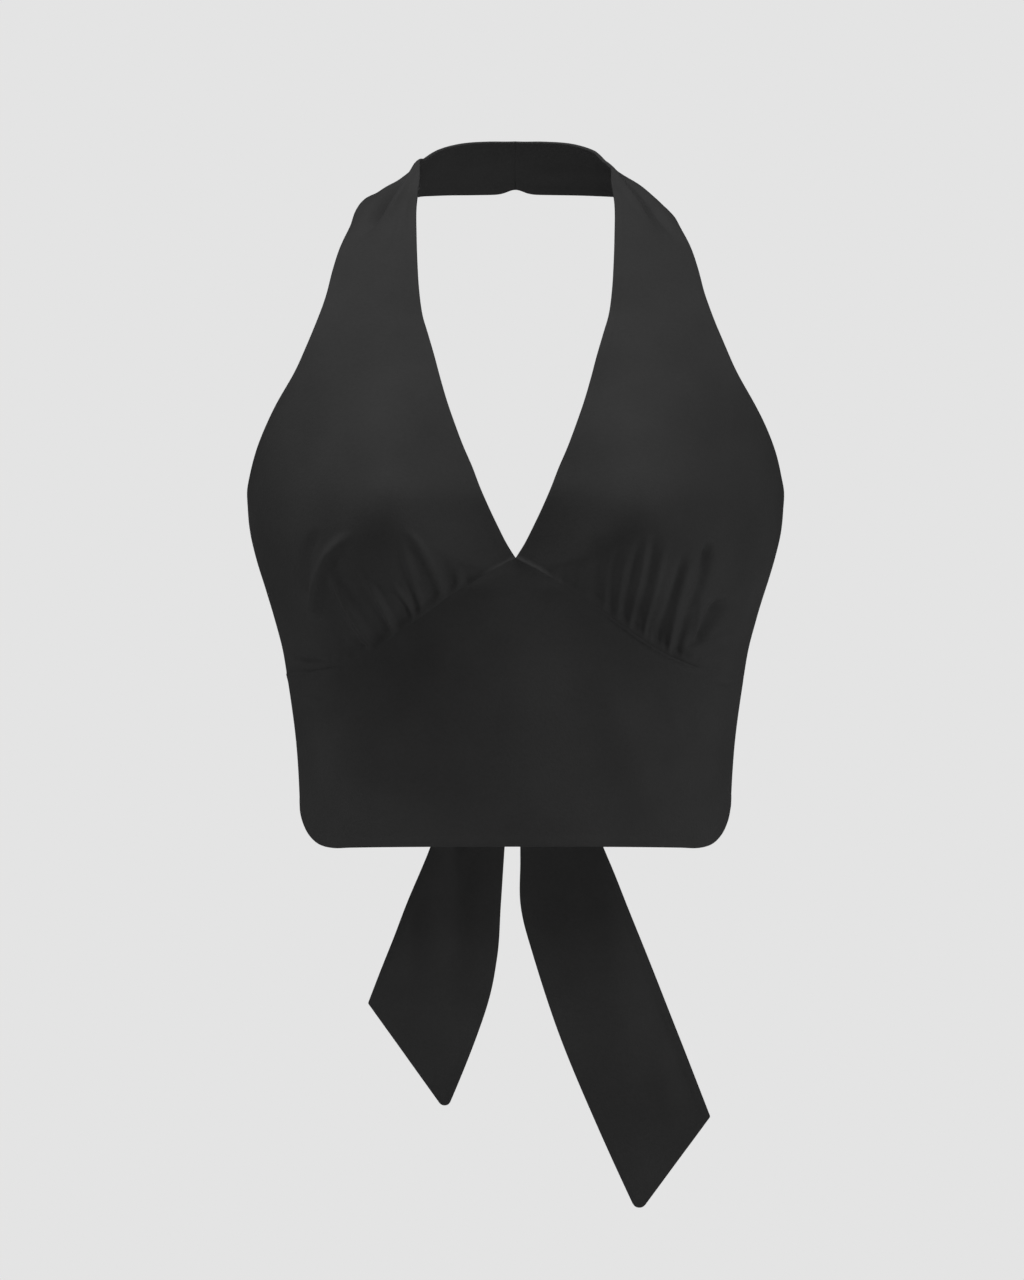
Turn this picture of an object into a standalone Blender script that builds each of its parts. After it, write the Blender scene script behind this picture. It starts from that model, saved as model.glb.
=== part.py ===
"""Halter neck top in black stretch crepe: two bust cups, each cut in one with its half of the neck
strap, a midriff front with a pointed top edge and a rounded hem, and two back wings that run into a
tied knot with two long tails.

The top keeps its worn, filled-out form with no wearer in it. The frame is metres, +Z up, with the
front facing -Y and the wearer's left on +X. The origin is the middle of the strap at the nape, where
the neck holds the top up. All sizes below are in millimetres and degrees.
"""

import bmesh
import bpy
import numpy as np
from mathutils import Vector

MM = 0.001
CLOTH = 1.6  # wall of the doubled crepe
SEAM_GAP = 0.45  # clearance between two sewn edges at the outer face, less at the inner one
HALF_GAP = SEAM_GAP / 2

SIDE_Y = -70.0  # front-to-back place of the side seams
SQUARENESS = 0.10  # how far a horizontal section is fuller than an ellipse

BUST_OUT = 31.5  # how far a cup stands off the plain figure
BUST_X = 77.0  # its point, from the middle line
BUST_Z = -219.5
BUST_TOP_Z = -95.0  # where the cup has run out above
CREST_DROP = 27.0  # how far the crest's arch comes down to both sides
CREST_HALF_WIDTH = 36.0
LEAST_CREST_HEIGHT = 12.0  # above the seam, where the seam comes up to the crest
INNER_SPREAD = 43.0  # width of the hill towards the middle line
OUTER_SPREAD = 70.0  # and towards the side seam
SIDE_FADE = 6  # the higher, the nearer to the side seam the cup still stands out
UNDER_SOFT = 0.18  # round of the crest on its under side, as a share of the fall
UNDER_POWER = 1.3
OVER_SOFT = 0.10  # and on its upper side
OVER_POWER = 1.2

KNOT_AT = (0.0, 26.0, -330.0)
KNOT_HALF = (21.0, 13.0, 20.0)
KNOT_BOX = 2.6  # 2 is a ball, more is squarer
KNOT_GROOVE = 2.2  # depth of the groove between its two turns
KNOT_GROOVE_WIDTH = 4.0
KNOT_GROOVE_SLOPE = 0.55
KNOT_SEGMENTS = 28
KNOT_RINGS = 16

MIDRIFF_COLUMNS = 36
MIDRIFF_ROWS = 7
WING_COLUMNS = 13
WING_ROWS = 8
TAIL_COLUMNS = 8
TAIL_ROWS = 16

GATHER_RISE = 14.0  # height above the seam where a gather stands proudest
TAIL_END_BOW = 1.0  # how far the slanted end bows out, a third of the way from its tip
TAIL_PLEATS = 2.5  # folds across a tail where the knot holds it
TAIL_PLEAT_DEPTH = 2.4
TAIL_PLEAT_RUN = 45.0  # length over which they open out

FABRIC_COLOUR = (0.0176, 0.0176, 0.0185, 1.0)
FABRIC_ROUGHNESS = 0.86


def table(columns, *rows):
    """Named columns of a short table, each as an array."""
    return dict(zip(columns.split(), np.array(rows, float).T))


# Horizontal sections of the general figure: half width, and depth before and behind the side line.
FIGURE = table(
    "z half_width front back",
    (-410, 127.0, 94.0, 91.0),
    (-382, 127.8, 94.5, 91.0),
    (-346, 130.2, 98.0, 92.5),
    (-311, 134.9, 102.0, 95.0),
    (-293, 137.9, 104.0, 96.0),
    (-275, 142.6, 106.5, 97.0),
    (-257, 148.0, 110.0, 98.0),
    (-240, 153.3, 113.0, 99.0),
    (-222, 157.4, 116.3, 100.0),
    (-204, 158.9, 118.6, 100.0),
    (-186, 159.5, 115.2, 100.0),
    (-168, 160.0, 110.2, 99.0),
    (-150, 160.0, 103.5, 98.0),
    (-130, 160.0, 94.5, 97.0),
    (-110, 160.0, 83.5, 96.0),
    (-95, 160.0, 73.0, 95.0),
)
# Seam between cups and midriff. Angles go round from the front middle, 90 is the side seam.
UNDERBUST = table(
    "angle z",
    (0, -240.0),
    (6, -249.0),
    (12, -258.8),
    (18, -269.6),
    (24, -279.6),
    (31, -289.6),
    (38, -297.0),
    (45, -301.8),
    (56, -305.4),
    (70, -306.9),
    (90, -307.5),
)
# Lower edge of the midriff, and on round the back wings to the knot.
HEM = table(
    "angle z",
    (0, -405.8),
    (24, -406.2),
    (46, -407.4),
    (54, -408.0),
    (62, -406.4),
    (70, -401.6),
    (78, -394.6),
    (84, -389.0),
    (90, -384.0),
    (100, -377.5),
    (115, -369.0),
    (130, -362.5),
    (145, -357.5),
    (160, -352.0),
    (171, -346.5),
)
# Upper edge of the back wings, from the underarm to the knot.
WING_TOP = table(
    "angle z",
    (90, -207.0),
    (100, -221.0),
    (112, -238.5),
    (124, -254.5),
    (136, -269.5),
    (148, -283.5),
    (160, -298.5),
    (171, -313.5),
)
# Rows of a cup over the chest: the neckline end, then the side seam and armhole end.
CUP_ROWS = table(
    "neck_angle neck_z side_angle side_z",
    (0.0, -240.0, 90.0, -307.5),
    (1.7, -232.0, 90.0, -295.5),
    (3.2, -223.0, 90.0, -281.0),
    (4.9, -212.0, 90.0, -262.0),
    (6.6, -200.0, 90.0, -242.0),
    (8.1, -188.0, 90.0, -222.0),
    (9.8, -176.0, 90.0, -207.0),
    (11.4, -163.0, 77.5, -191.0),
    (12.9, -150.0, 67.0, -171.0),
    (14.2, -137.0, 58.2, -151.5),
    (15.4, -124.0, 51.3, -134.0),
    (16.7, -111.0, 46.7, -117.0),
    (18.0, -98.0, 43.2, -100.5),
)
# Rows of the strap from the collar bone over the shoulder to the nape: neck edge, outer edge, bow.
STRAP_ROWS = table(
    "neck_x neck_y neck_z edge_x edge_y edge_z bow",
    (56.0, -133.0, -83.0, 110.8, -119.0, -86.0, 3.0),
    (57.2, -121.0, -66.0, 107.4, -106.0, -70.5, 3.6),
    (58.0, -107.0, -48.0, 103.6, -92.0, -56.5, 4.0),
    (58.4, -92.0, -30.5, 99.0, -76.0, -44.5, 4.2),
    (56.9, -76.0, -15.0, 94.4, -60.0, -33.8, 3.8),
    (56.0, -60.0, -3.5, 88.6, -44.0, -26.5, 3.0),
    (53.3, -44.9, 1.9, 80.0, -27.5, -21.8, 2.4),
    (45.3, -31.2, 8.0, 65.5, -10.7, -18.6, 2.0),
    (32.9, -20.4, 12.4, 46.3, 1.5, -16.8, 1.6),
    (17.3, -13.4, 14.3, 22.5, 8.9, -15.9, 1.4),
    (5.0, -11.1, 14.6, 6.0, 10.9, -15.5, 1.2),
    (0.0, -11.0, 14.7, 0.0, 11.0, -15.5, 1.2),
)
STRAP_STEPS = 17  # rows of the strap's wall between the chest and the straight end at the nape
# Gathers of each cup: place along the under-bust seam, depth and height above the seam.
GATHERS = {
    1: table(
        "seam_x depth height",
        (52, 0.9, 40),
        (61, 1.4, 52),
        (69, 1.6, 58),
        (79, 1.8, 56),
        (94, 2.2, 66),
        (112, 1.2, 26),
    ),
    -1: table(
        "seam_x depth height",
        (37, 1.0, 32),
        (46, 1.5, 44),
        (55, 1.4, 48),
        (64, 1.6, 46),
        (76, 2.0, 60),
        (98, 1.3, 50),
    ),
}
GATHER_HALF_WIDTH = 3.6
# Folds of each strap where it turns over the shoulder. Rows count from the chest, u goes from the
# neck edge to the outer edge.
STRAP_FOLDS = {
    1: table(
        "top_row top_u low_row low_u depth",
        (8.2, 0.22, 3.2, 0.62, 2.4),
    ),
    -1: table(
        "top_row top_u low_row low_u depth",
        (8.0, 0.12, 4.4, 0.40, 1.8),
    ),
}
STRAP_FOLD_HALF_WIDTH = 0.13
# Edges of the two tails below the knot: the edge by the middle line, then the outer edge.
TAILS = {
    1: table(
        "inner_x inner_z outer_x outer_z",
        (1.5, -350.5, 20.0, -349.5),
        (2.6, -385.0, 41.0, -385.0),
        (3.0, -421.0, 56.8, -421.0),
        (3.2, -450.0, 68.3, -450.0),
        (10.8, -480.0, 80.0, -479.0),
        (27.4, -530.0, 94.0, -514.0),
        (50.0, -584.0, 107.0, -547.0),
        (74.5, -637.5, 119.4, -578.8),
    ),
    -1: table(
        "inner_x inner_z outer_x outer_z",
        (1.5, -350.5, 20.0, -349.5),
        (4.6, -385.0, 40.5, -385.0),
        (7.0, -421.0, 55.0, -421.0),
        (8.9, -450.0, 66.5, -448.0),
        (11.2, -482.0, 74.5, -469.0),
        (19.2, -517.0, 82.2, -488.5),
        (42.2, -574.5, 90.2, -509.4),
    ),
}
TAIL_Y = 28.0
TAIL_TOP_Z = -350.6


def curve(places, values, at):
    """Smooth curve through the table's points: cubic between neighbours, with three-point slopes.
    values may hold a row of points for each place; at is then a flat list of places."""
    slopes = np.gradient(values, places, axis=0, edge_order=2)
    at = np.clip(at, places[0], places[-1])
    left = np.clip(np.searchsorted(places, at, side="right") - 1, 0, len(places) - 2)
    span = places[left + 1] - places[left]
    t = (at - places[left]) / span
    spread = t.shape + (1,) * (np.ndim(values) - 1)
    span, t = span.reshape(spread), t.reshape(spread)
    value = values[left] * (2 * t**3 - 3 * t**2 + 1) + values[left + 1] * (3 * t**2 - 2 * t**3)
    return value + span * (slopes[left] * (t**3 - 2 * t**2 + t) + slopes[left + 1] * (t**3 - t**2))


def read(rows, column, at, by="angle"):
    return curve(rows[by], rows[column], at)


def slope_from_point(t, soft):
    """0 at the point and 1 at the far end: straight, but for a round of that size at the point."""
    return (np.sqrt(t**2 + soft**2) - soft) / (np.sqrt(1 + soft**2) - soft)


def bust(x, z, seam_z):
    """How far a cup stands out: drawn nearly straight from the strap to its crest, and back from there
    to the under-bust seam. The crest is an arch, and the hill dies out to each side."""
    off = np.abs(x) - BUST_X
    crest = BUST_Z - CREST_DROP * (1 - np.exp(-((off / CREST_HALF_WIDTH) ** 2)))
    below = np.clip((crest - z) / np.maximum(crest - seam_z, LEAST_CREST_HEIGHT), 0, 1)
    above = np.clip((z - crest) / (BUST_TOP_Z - crest), 0, 1)
    under = 1 - slope_from_point(below, UNDER_SOFT) ** UNDER_POWER
    over = (1 - slope_from_point(above, OVER_SOFT)) ** OVER_POWER
    spread = np.where(off < 0, INNER_SPREAD, OUTER_SPREAD)
    return BUST_OUT * np.where(z < crest, under, over) * np.exp(-((off / spread) ** 2))


def figure(angle, z):
    """Point of the cloth's outer face at an angle round the figure and a height, as (..., 3)."""
    s, c = np.sin(np.radians(angle)), np.cos(np.radians(angle))
    width = read(FIGURE, "half_width", z, by="z")
    depth = np.where(c > 0, read(FIGURE, "front", z, by="z"), read(FIGURE, "back", z, by="z"))
    x = width * s * (1 + SQUARENESS * c**2)
    y = SIDE_Y - depth * c * (1 + SQUARENESS * s**2)
    seam_z = read(UNDERBUST, "z", np.minimum(np.abs(angle), 90))
    front = np.where(c > 0, 1 - np.abs(s) ** SIDE_FADE, 0)
    y = y - front * bust(x, z, seam_z)
    return np.stack([x, y, z + 0 * x], axis=-1)


def unit(vectors):
    return vectors / np.linalg.norm(vectors, axis=-1, keepdims=True)


def cup_columns(gathers):
    """Fractions across a cup: a column on each gather and between each two, and even ones beyond."""
    angles = np.degrees(np.arcsin(np.clip(gathers["seam_x"] / 140.0, 0, 1)))
    folds = np.sort(np.concatenate([angles, (angles[1:] + angles[:-1]) / 2]))
    before = np.linspace(0, folds[0], 5)[:-1]
    after = np.linspace(folds[-1], 90, 6)[1:]
    return np.concatenate([before, folds, after]) / 90


def gathered(points, u, gathers):
    """Sinks each gather into the cup as a soft trough that dies out above its height."""
    seam = points[0]
    above = points[..., 2] - seam[None, :, 2]
    out = unit((points - (0.0, SIDE_Y, 0.0)) * (1.0, 1.0, 0.0))
    sunk = np.zeros_like(above)
    for place, depth, height in zip(*gathers.values()):
        across = np.exp(-(((np.abs(seam[None, :, 0]) - place) / GATHER_HALF_WIDTH) ** 2))
        along = (above / GATHER_RISE) * np.exp(1 - above / GATHER_RISE)
        fade = np.clip(1 - above / height, 0, 1)
        sunk += depth * across * along * np.sqrt(fade)
    return points - out * sunk[..., None]


def folded(points, at, u, folds):
    """Sinks the strap's folds into it, each along a slanted line and fading at both its ends."""
    along, across = np.gradient(points, axis=0), np.gradient(points, axis=1)
    out = unit(np.cross(across, along))
    sunk = np.zeros(points.shape[:2])
    for top_row, top_u, low_row, low_u, depth in zip(*folds.values()):
        t = (at - low_row) / (top_row - low_row)
        line = low_u + (top_u - low_u) * t
        fade = np.clip(4 * t * (1 - t), 0, 1)[:, None]
        near = np.exp(-(((u[None, :] - line[:, None]) / STRAP_FOLD_HALF_WIDTH) ** 2))
        sunk += depth * fade * near
    return points - out * sunk[..., None]


def cup_points(side):
    """Grid of a cup and its strap: rows from the under-bust seam to the nape, columns from the neck
    edge to the side seam and armhole edge."""
    u = cup_columns(GATHERS[side])
    rows = CUP_ROWS
    count = len(rows["neck_z"])
    neck_angle = rows["neck_angle"][:, None]
    angle = neck_angle + (rows["side_angle"][:, None] - neck_angle) * u
    straight = rows["neck_z"][:, None] + (rows["side_z"] - rows["neck_z"])[:, None] * u
    first, last = rows["neck_z"][0], rows["side_z"][0]
    seam_shape = read(UNDERBUST, "z", 90 * u) - (first + (last - first) * u)
    dip = np.clip(1 - np.arange(count) / 7.0, 0, 1)[:, None]
    chest = figure(angle, straight + seam_shape * dip)
    chest[0, :, 2] += HALF_GAP
    chest[..., 1] = np.minimum(chest[..., 1], SIDE_Y - HALF_GAP)
    neck = np.stack([STRAP_ROWS["neck_" + axis] for axis in "xyz"], axis=-1)
    edge = np.stack([STRAP_ROWS["edge_" + axis] for axis in "xyz"], axis=-1)
    middle = np.concatenate([chest[-1:].mean(axis=1), (neck + edge) / 2])
    way = np.gradient(middle, axis=0)[1:]
    outward = unit(np.cross(edge - neck, way))
    arch = (4 * u * (1 - u))[None, :, None] * STRAP_ROWS["bow"][:, None, None]
    strap = neck[:, None] + (edge - neck)[:, None] * u[None, :, None] + outward[:, None] * arch
    over = np.concatenate([chest[-2:], strap])
    last = len(over) - 1.0
    at = np.append(np.linspace(1, last - 1, STRAP_STEPS), last)[1:]
    strap = folded(curve(np.arange(last + 1), over, at), at, u, STRAP_FOLDS[side])
    points = np.concatenate([gathered(chest, u, GATHERS[side]), strap])
    points[..., 0] = np.maximum(points[..., 0], HALF_GAP) * side
    return points


def midriff_points():
    """Grid of the midriff front: rows from the hem to the under-bust seam, columns side to side."""
    angle = np.linspace(-90, 90, MIDRIFF_COLUMNS + 1)
    low = read(HEM, "z", np.abs(angle))
    high = read(UNDERBUST, "z", np.abs(angle)) - HALF_GAP
    t = np.linspace(0, 1, MIDRIFF_ROWS + 1)[:, None]
    points = figure(angle[None, :] + 0 * t, low + (high - low) * t)
    points[..., 1] = np.minimum(points[..., 1], SIDE_Y - HALF_GAP)
    return points


def wing_points(side):
    """Grid of a back wing: rows from its hem to its upper edge, columns from side seam to knot."""
    angle = np.linspace(90, 171, WING_COLUMNS + 1)
    low = read(HEM, "z", angle)
    high = read(WING_TOP, "z", angle)
    t = np.linspace(0, 1, WING_ROWS + 1)[:, None]
    points = figure(angle[None, :] + 0 * t, low + (high - low) * t)
    points[..., 1] = np.maximum(points[..., 1], SIDE_Y + HALF_GAP)
    points[:, -1, 0] = KNOT_HALF[0] + HALF_GAP
    points[..., 0] *= side
    return points


def tail_points(side):
    """Grid of a tail: rows from the knot to the slanted end, columns from inner to outer edge."""
    rows = TAILS[side]
    place = np.arange(len(rows["inner_x"]), dtype=float)
    at = np.linspace(0, place[-1], TAIL_ROWS + 1)
    inner = np.stack([curve(place, rows["inner_" + axis], at) for axis in "xz"], axis=-1)
    outer = np.stack([curve(place, rows["outer_" + axis], at) for axis in "xz"], axis=-1)
    u = np.linspace(0, 1, TAIL_COLUMNS + 1)
    flat = inner[:, None] + (outer - inner)[:, None] * u[None, :, None]
    down = unit(inner[-1] + outer[-1] - inner[-2] - outer[-2])
    bowed = TAIL_END_BOW * 6.75 * u * (1 - u) ** 2
    flat += down * bowed[None, :, None] * (at / place[-1])[:, None, None] ** 4
    fallen = TAIL_TOP_Z - flat[..., 1]
    pleats = np.cos(2 * np.pi * TAIL_PLEATS * u)[None, :] * np.exp(-fallen / TAIL_PLEAT_RUN)
    y = TAIL_Y + TAIL_PLEAT_DEPTH * pleats
    return np.stack([flat[..., 0] * side, y, flat[..., 1]], axis=-1)


def new_material(name):
    material = bpy.data.materials.new(name)
    material.use_nodes = True
    shader = material.node_tree.nodes["Principled BSDF"]
    shader.inputs["Base Color"].default_value = FABRIC_COLOUR
    shader.inputs["Roughness"].default_value = FABRIC_ROUGHNESS
    shader.inputs["Metallic"].default_value = 0.0
    return material


def new_object(name, bm, group):
    mesh = bpy.data.meshes.new(name)
    bm.to_mesh(mesh)
    bm.free()
    mesh.materials.append(new_material(name + "_crepe"))
    mesh.shade_smooth()
    made = bpy.data.objects.new(name, mesh)
    group.objects.link(made)
    return made


def shell(name, points, out_of, group):
    """Cloth panel on a grid of points in millimetres, facing away from out_of, as one wall."""
    rows, columns = points.shape[:2]
    bm = bmesh.new()
    bmesh.ops.create_grid(bm, x_segments=columns - 1, y_segments=rows - 1, size=0.5)
    for vert in bm.verts:
        column = round((vert.co.x + 0.5) * (columns - 1))
        row = round((vert.co.y + 0.5) * (rows - 1))
        vert.co = Vector(points[row, column] * MM)
    bm.normal_update()
    middle = Vector(np.array(out_of) * MM)
    facing = sum((f.calc_center_median() - middle).dot(f.normal) * f.calc_area() for f in bm.faces)
    if facing < 0:
        bmesh.ops.reverse_faces(bm, faces=bm.faces[:])
    panel = new_object(name, bm, group)
    wall = panel.modifiers.new("Cloth", "SOLIDIFY")
    wall.thickness = CLOTH * MM
    wall.offset = -1.0
    return panel


def knot(name, group):
    """Tied knot: a squared ball of cloth, grooved where one turn lies over the other."""
    bm = bmesh.new()
    bmesh.ops.create_uvsphere(bm, u_segments=KNOT_SEGMENTS, v_segments=KNOT_RINGS, radius=1.0)
    half = np.array(KNOT_HALF)
    for vert in bm.verts:
        ball = np.array(vert.co)
        ball = ball / (np.abs(ball) ** KNOT_BOX).sum() ** (1 / KNOT_BOX)
        place = ball * half
        slant = place[2] + KNOT_GROOVE_SLOPE * place[0]
        groove = KNOT_GROOVE * np.exp(-((slant / KNOT_GROOVE_WIDTH) ** 2)) * max(ball[1], 0.0)
        place[1] -= groove
        vert.co = Vector((place + np.array(KNOT_AT)) * MM)
    return new_object(name, bm, group)


def main():
    for old in list(bpy.data.objects):
        bpy.data.objects.remove(old, do_unlink=True)
    group = bpy.data.collections.new("halter_neck_top")
    bpy.context.scene.collection.children.link(group)
    chest_middle = (0.0, SIDE_Y, -200.0)
    waist_middle = (0.0, SIDE_Y, -330.0)
    for side, word in ((1, "left"), (-1, "right")):
        shell("cup_" + word, cup_points(side), chest_middle, group)
        shell("wing_" + word, wing_points(side), waist_middle, group)
        shell("tie_tail_" + word, tail_points(side), (0.0, SIDE_Y, -450.0), group)
    shell("midriff_front", midriff_points(), waist_middle, group)
    knot("tie_knot", group)


main()
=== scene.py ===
"""Halter neck top in black stretch crepe, as worn but with no wearer in it.

Every panel is a closed cloth wall on the panel's own form: two bust cups that run up into the neck
strap, the midriff front, two back wings, the knot and its two tails. Sizes are in millimetres and
degrees until a mesh is made. +X is the wearer's left, the front faces -Y and +Z is up.
"""

import math

import bpy
import numpy as np
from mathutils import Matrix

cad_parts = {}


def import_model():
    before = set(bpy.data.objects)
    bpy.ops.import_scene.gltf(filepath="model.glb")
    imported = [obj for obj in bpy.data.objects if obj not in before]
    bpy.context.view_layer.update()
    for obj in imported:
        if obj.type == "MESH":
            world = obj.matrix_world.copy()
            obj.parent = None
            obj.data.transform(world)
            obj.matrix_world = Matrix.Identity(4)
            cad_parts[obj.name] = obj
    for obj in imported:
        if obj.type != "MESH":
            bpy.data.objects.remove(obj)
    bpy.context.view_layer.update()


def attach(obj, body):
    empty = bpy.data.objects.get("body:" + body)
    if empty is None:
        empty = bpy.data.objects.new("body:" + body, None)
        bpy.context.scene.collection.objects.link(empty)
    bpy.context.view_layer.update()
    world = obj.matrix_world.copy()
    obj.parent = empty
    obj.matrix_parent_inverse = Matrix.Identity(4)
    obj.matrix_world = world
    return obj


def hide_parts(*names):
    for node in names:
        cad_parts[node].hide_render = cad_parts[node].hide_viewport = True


MM = 0.001
WALL = 1.6  # doubled crepe
SEAM_OVERLAP = 0.6  # how far a sewn edge runs on past the seam line, so that no light shows through
SEAM_OVERLAP_FADE = 2.5  # distance from the edge within which that dies out
EDGE_STEPS = (0.0, 0.12, 0.3, 0.55, 0.85, 1.3, 2.0, 3.0)  # rings of faces beside an edge
FREE_EDGE_ROUND = 0.66  # radius of a bagged-out edge
SEWN_EDGE_ROUND = 0.20  # radius of an edge turned into a seam
EDGE_BULK = 0.16  # extra cloth folded inside a free edge, on each face
EDGE_BULK_WIDTH, EDGE_BULK_FADE = 6.5, 2.5
SEAM_DIP, SEAM_DIP_WIDTH = 0.45, 1.9  # how far, and over what width, a sewn edge is drawn in

SIDE_ANGLE = 90.0  # the side seams, in degrees round the body from the middle of the front
SIDE_Y = -70.0  # and their place between front and back
SQUARENESS = 0.10  # how far the figure's sections fill out towards a square
BUST_OUT, BUST_X, BUST_Z, BUST_TOP_Z = 31.5, 77.0, -219.5, -95.0  # a cup's hill and its point
CREST_DROP, CREST_HALF_WIDTH = 27.0, 36.0  # how the hill's crest arches down to both sides
INNER_SPREAD, OUTER_SPREAD, SIDE_FADE = 43.0, 70.0, 6  # how it dies out towards the sides
UNDER_SOFT, UNDER_POWER, OVER_SOFT, OVER_POWER = 0.18, 1.3, 0.10, 1.2  # its slopes' curves
KNOT_AT, KNOT_HALF = (0.0, 26.0, -330.0), (21.0, 13.0, 20.0)
TAIL_Y, TAIL_TOP_Z = 28.0, -350.6


def table(columns, *rows):
    """Named columns of a short table, each as an array."""
    return dict(zip(columns.split(), np.array(rows, float).T))


# Horizontal sections of the general figure: half width, and depth before and behind the side line.
FIGURE = table(
    "z half_width front back",
    (-410, 127.0, 94.0, 91.0),
    (-382, 127.8, 94.5, 91.0),
    (-346, 130.2, 98.0, 92.5),
    (-311, 134.9, 102.0, 95.0),
    (-293, 137.9, 104.0, 96.0),
    (-275, 142.6, 106.5, 97.0),
    (-257, 148.0, 110.0, 98.0),
    (-240, 153.3, 113.0, 99.0),
    (-222, 157.4, 116.3, 100.0),
    (-204, 158.9, 118.6, 100.0),
    (-186, 159.5, 115.2, 100.0),
    (-168, 160.0, 110.2, 99.0),
    (-150, 160.0, 103.5, 98.0),
    (-130, 160.0, 94.5, 97.0),
    (-110, 160.0, 83.5, 96.0),
    (-95, 160.0, 73.0, 95.0),
)
# Heights of the under-bust seam, the hem and the wings' upper edge, by the angle round the body from
# the middle of the front, the same on both sides.
UNDERBUST = table(
    "angle z",
    (0, -240.0),
    (6, -249.0),
    (12, -258.8),
    (18, -269.6),
    (24, -279.6),
    (31, -289.6),
    (38, -297.0),
    (45, -301.8),
    (56, -305.4),
    (70, -306.9),
    (90, -307.5),
)
HEM = table(
    "angle z",
    (0, -405.8),
    (24, -406.2),
    (46, -407.4),
    (54, -408.0),
    (62, -406.4),
    (70, -401.6),
    (78, -394.6),
    (84, -389.0),
    (90, -384.0),
    (100, -377.5),
    (115, -369.0),
    (130, -362.5),
    (145, -357.5),
    (160, -352.0),
    (171, -346.5),
)
WING_TOP = table(
    "angle z",
    (90, -207.0),
    (100, -221.0),
    (112, -238.5),
    (124, -254.5),
    (136, -269.5),
    (148, -283.5),
    (160, -298.5),
    (171, -313.5),
)
# Rows of a cup over the chest: where each one meets the neck edge, and the side or the armhole edge.
CUP_ROWS = table(
    "neck_angle neck_z side_angle side_z",
    (0.0, -240.0, 90.0, -307.5),
    (1.7, -232.0, 90.0, -295.5),
    (3.2, -223.0, 90.0, -281.0),
    (4.9, -212.0, 90.0, -262.0),
    (6.6, -200.0, 90.0, -242.0),
    (8.1, -188.0, 90.0, -222.0),
    (9.8, -176.0, 90.0, -207.0),
    (11.4, -163.0, 77.5, -191.0),
    (12.9, -150.0, 67.0, -171.0),
    (14.2, -137.0, 58.2, -151.5),
    (15.4, -124.0, 51.3, -134.0),
    (16.7, -111.0, 46.7, -117.0),
    (18.0, -98.0, 43.2, -100.5),
)
# Rows of the strap on from the cup: its two edges, and how far it bows out between them.
STRAP_ROWS = table(
    "neck_x neck_y neck_z edge_x edge_y edge_z bow",
    (56.0, -133.0, -83.0, 110.8, -119.0, -86.0, 3.0),
    (57.2, -121.0, -66.0, 107.4, -106.0, -70.5, 3.6),
    (58.0, -107.0, -48.0, 103.6, -92.0, -56.5, 4.0),
    (58.4, -92.0, -30.5, 99.0, -76.0, -44.5, 4.2),
    (56.9, -76.0, -15.0, 94.4, -60.0, -33.8, 3.8),
    (56.0, -60.0, -3.5, 88.6, -44.0, -26.5, 3.0),
    (53.3, -44.9, 1.9, 80.0, -27.5, -21.8, 2.4),
    (45.3, -31.2, 8.0, 65.5, -10.7, -18.6, 2.0),
    (32.9, -20.4, 12.4, 46.3, 1.5, -16.8, 1.6),
    (17.3, -13.4, 14.3, 22.5, 8.9, -15.9, 1.4),
    (5.0, -11.1, 14.6, 6.0, 10.9, -15.5, 1.2),
    (0.0, -11.0, 14.7, 0.0, 11.0, -15.5, 1.2),
)
CHEST_ROWS = len(CUP_ROWS["neck_z"])
SHARED_ROWS = 3  # chest rows that the strap's loft starts from
# Edges of each tail of the tie, by the wearer's side, from the knot down. x is measured outwards.
TAILS = {
    1: table(
        "inner_x inner_z outer_x outer_z",
        (1.5, -350.5, 20.0, -349.5),
        (2.6, -385.0, 41.0, -385.0),
        (3.0, -421.0, 56.8, -421.0),
        (3.2, -450.0, 68.3, -450.0),
        (10.8, -480.0, 80.0, -479.0),
        (27.4, -530.0, 94.0, -514.0),
        (50.0, -584.0, 107.0, -547.0),
        (75.0, -639.0, 119.4, -578.8),
    ),
    -1: table(
        "inner_x inner_z outer_x outer_z",
        (1.5, -350.5, 20.0, -349.5),
        (4.6, -385.0, 40.5, -385.0),
        (7.0, -421.0, 55.0, -421.0),
        (8.9, -450.0, 66.5, -448.0),
        (11.2, -482.0, 74.5, -469.0),
        (19.2, -517.0, 82.2, -488.5),
        (42.5, -576.0, 90.2, -509.4),
    ),
}

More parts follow.
